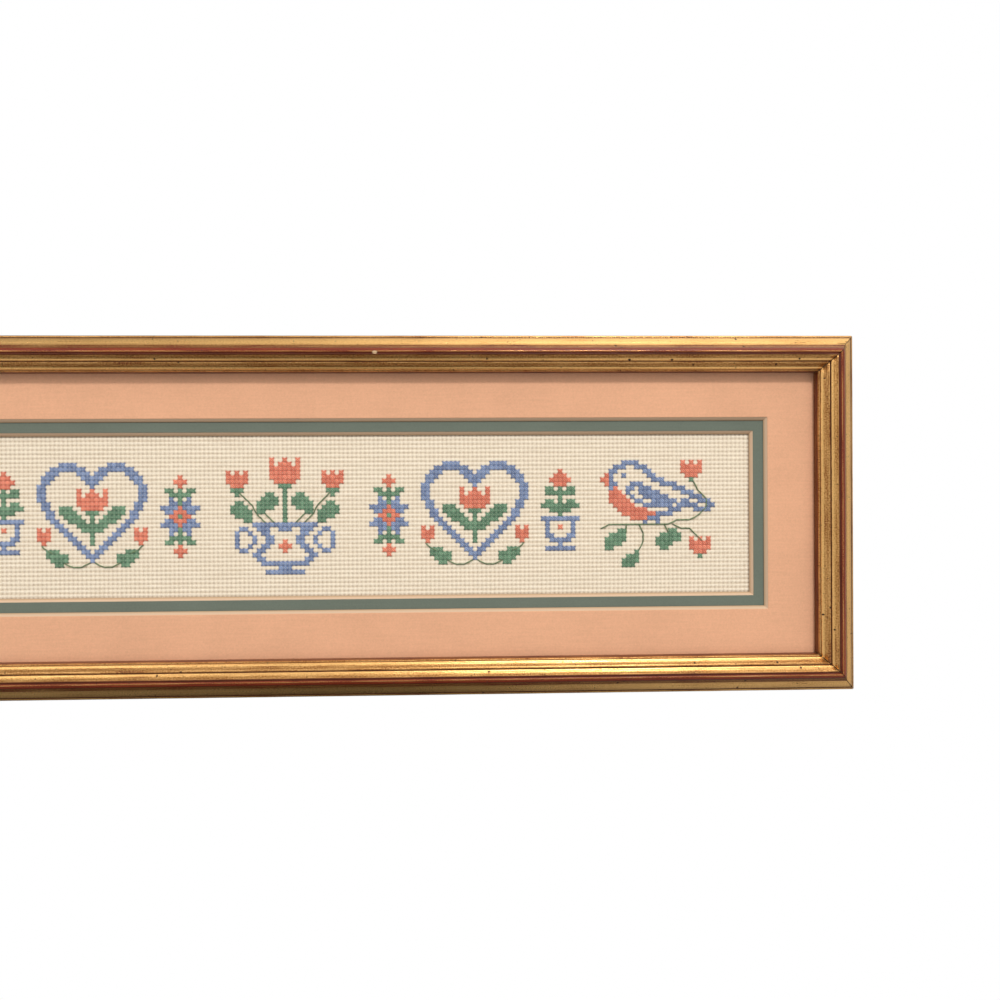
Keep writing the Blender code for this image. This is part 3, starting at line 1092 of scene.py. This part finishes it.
def make_world():
    """A pale room: brightest overhead on the right, dark on the floor, dim by the viewer and behind."""
    world = bpy.data.worlds.new("room")
    bpy.context.scene.world = world
    world.use_nodes = True
    tree = world.node_tree
    toward = add(tree, "ShaderNodeTexCoord").outputs["Generated"]
    x, y, z = add(tree, "ShaderNodeSeparateXYZ", {0: toward}).outputs[:3]
    ceiling = maths(tree, "MULTIPLY_ADD", hump(tree, x, *BRIGHT_CEILING_AT), BRIGHTER_CEILING, CEILING)
    walls = maths(tree, "MULTIPLY_ADD", hump(tree, x, *VIEWER_AT), -DIM_BY_VIEWER, WALLS)
    walls = maths(tree, "MULTIPLY_ADD", hump(tree, x, *BRIGHT_WALL_AT), BRIGHTER_WALLS, walls)
    to_right = between(tree, x, *FLOOR_BRIGHTENS_RIGHT, FLOOR, FLOOR + BRIGHTER_FLOOR_RIGHT)
    to_left = between(tree, x, *FLOOR_BRIGHTENS_LEFT, 0.0, BRIGHTER_FLOOR_LEFT)
    floor = maths(tree, "ADD", to_right, to_left)
    strength = mix_values(tree, between(tree, z, *FLOOR_TO_WALLS), floor, walls)
    strength = mix_values(tree, between(tree, z, *WALLS_TO_CEILING), strength, ceiling)
    behind = maths(tree, "MULTIPLY", between(tree, z, *LIGHT_BY_HEIGHT), between(tree, x, *LIGHT_BY_SIDE))
    dimmed = mix_values(tree, between(tree, y, *BEHIND_FROM), 1.0, behind)
    strength = maths(tree, "MULTIPLY", strength, dimmed)
    room = add(tree, "ShaderNodeBackground", {"Color": colour(*ROOM_TINT), "Strength": strength})
    white = add(tree, "ShaderNodeBackground", {"Color": colour(1, 1, 1), "Strength": 1.0})
    seen = add(tree, "ShaderNodeLightPath").outputs["Is Camera Ray"]
    both = add(tree, "ShaderNodeMixShader", {0: seen, 1: room.outputs[0], 2: white.outputs[0]})
    tree.links.new(both.outputs[0], tree.nodes["World Output"].inputs["Surface"])


def make_lamp(lamp):
    """A soft lamp aimed at the middle of the picture."""
    light = bpy.data.lights.new(lamp.name, "AREA")
    light.shape = "RECTANGLE"
    light.size, light.size_y = lamp.size
    light.energy = lamp.watts
    light.color = LAMP_TINT
    stand = bpy.data.objects.new(lamp.name, light)
    stand.location = MIDDLE + Vector(lamp.offset)
    stand.rotation_euler = Vector(lamp.offset).to_track_quat("Z", "Y").to_euler()
    bpy.context.scene.collection.objects.link(stand)


def make_camera():
    """The camera stands where the photo was taken from, and looks almost square at the picture."""
    data = bpy.data.cameras.new("camera")
    data.lens = CAMERA_LENS_MM
    data.clip_start = 0.01
    camera = bpy.data.objects.new("camera", data)
    turn = Matrix.Rotation(CAMERA_TURN, 4, "Z") @ Matrix.Rotation(CAMERA_TILT, 4, "X")
    turn = turn @ Matrix.Rotation(CAMERA_ROLL, 4, "Y") @ Matrix.Rotation(math.pi / 2, 4, "X")
    camera.matrix_world = Matrix.Translation(Vector((0, WALL, MIDDLE.z)) + CAMERA_PLACE) @ turn
    bpy.context.scene.collection.objects.link(camera)
    bpy.context.scene.camera = camera


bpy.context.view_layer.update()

bpy.context.scene.view_settings.view_transform = "Standard"

GROUPS["flecks"] = flecks_group()
GROUPS["board"] = board_group()
GROUPS["floss"] = floss_group()
MATERIALS = {
    "cloth": cloth_material(),
    "gilding": gilding_material(),
    "bare_wood": wood_material("bare_wood", BARE_WOOD, WOOD_GRAIN, "moulding"),
    "backing": wood_material("fibreboard", FIBREBOARD, FIBREBOARD_GRAIN),
    "outer_board": board_material("outer_board", "outer_mat", OUTER_PAPER),
    "inner_board": board_material("inner_board", "inner_mat", INNER_PAPER),
}
for floss, shades in FLOSS_COLOURS.items():
    MATERIALS[floss] = floss_material(floss + "_floss", shades)

finishes = {"outer_mat": "outer_board", "inner_mat": "inner_board", "backing_board": "backing"}
for node, finish in finishes.items():
    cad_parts[node].data.materials.clear()
    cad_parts[node].data.materials.append(MATERIALS[finish])

sides = {"top": (0, 0, 1), "bottom": (0, 0, -1), "left": (-1, 0, 0), "right": (1, 0, 0)}
for side, outward in sides.items():
    make_rail("rail_" + side, outward)

cloth, cloth_size = make_cloth()
stitches = make_stitches()

make_floor()
make_world()
for lamp in LAMPS:
    make_lamp(lamp)
make_camera()
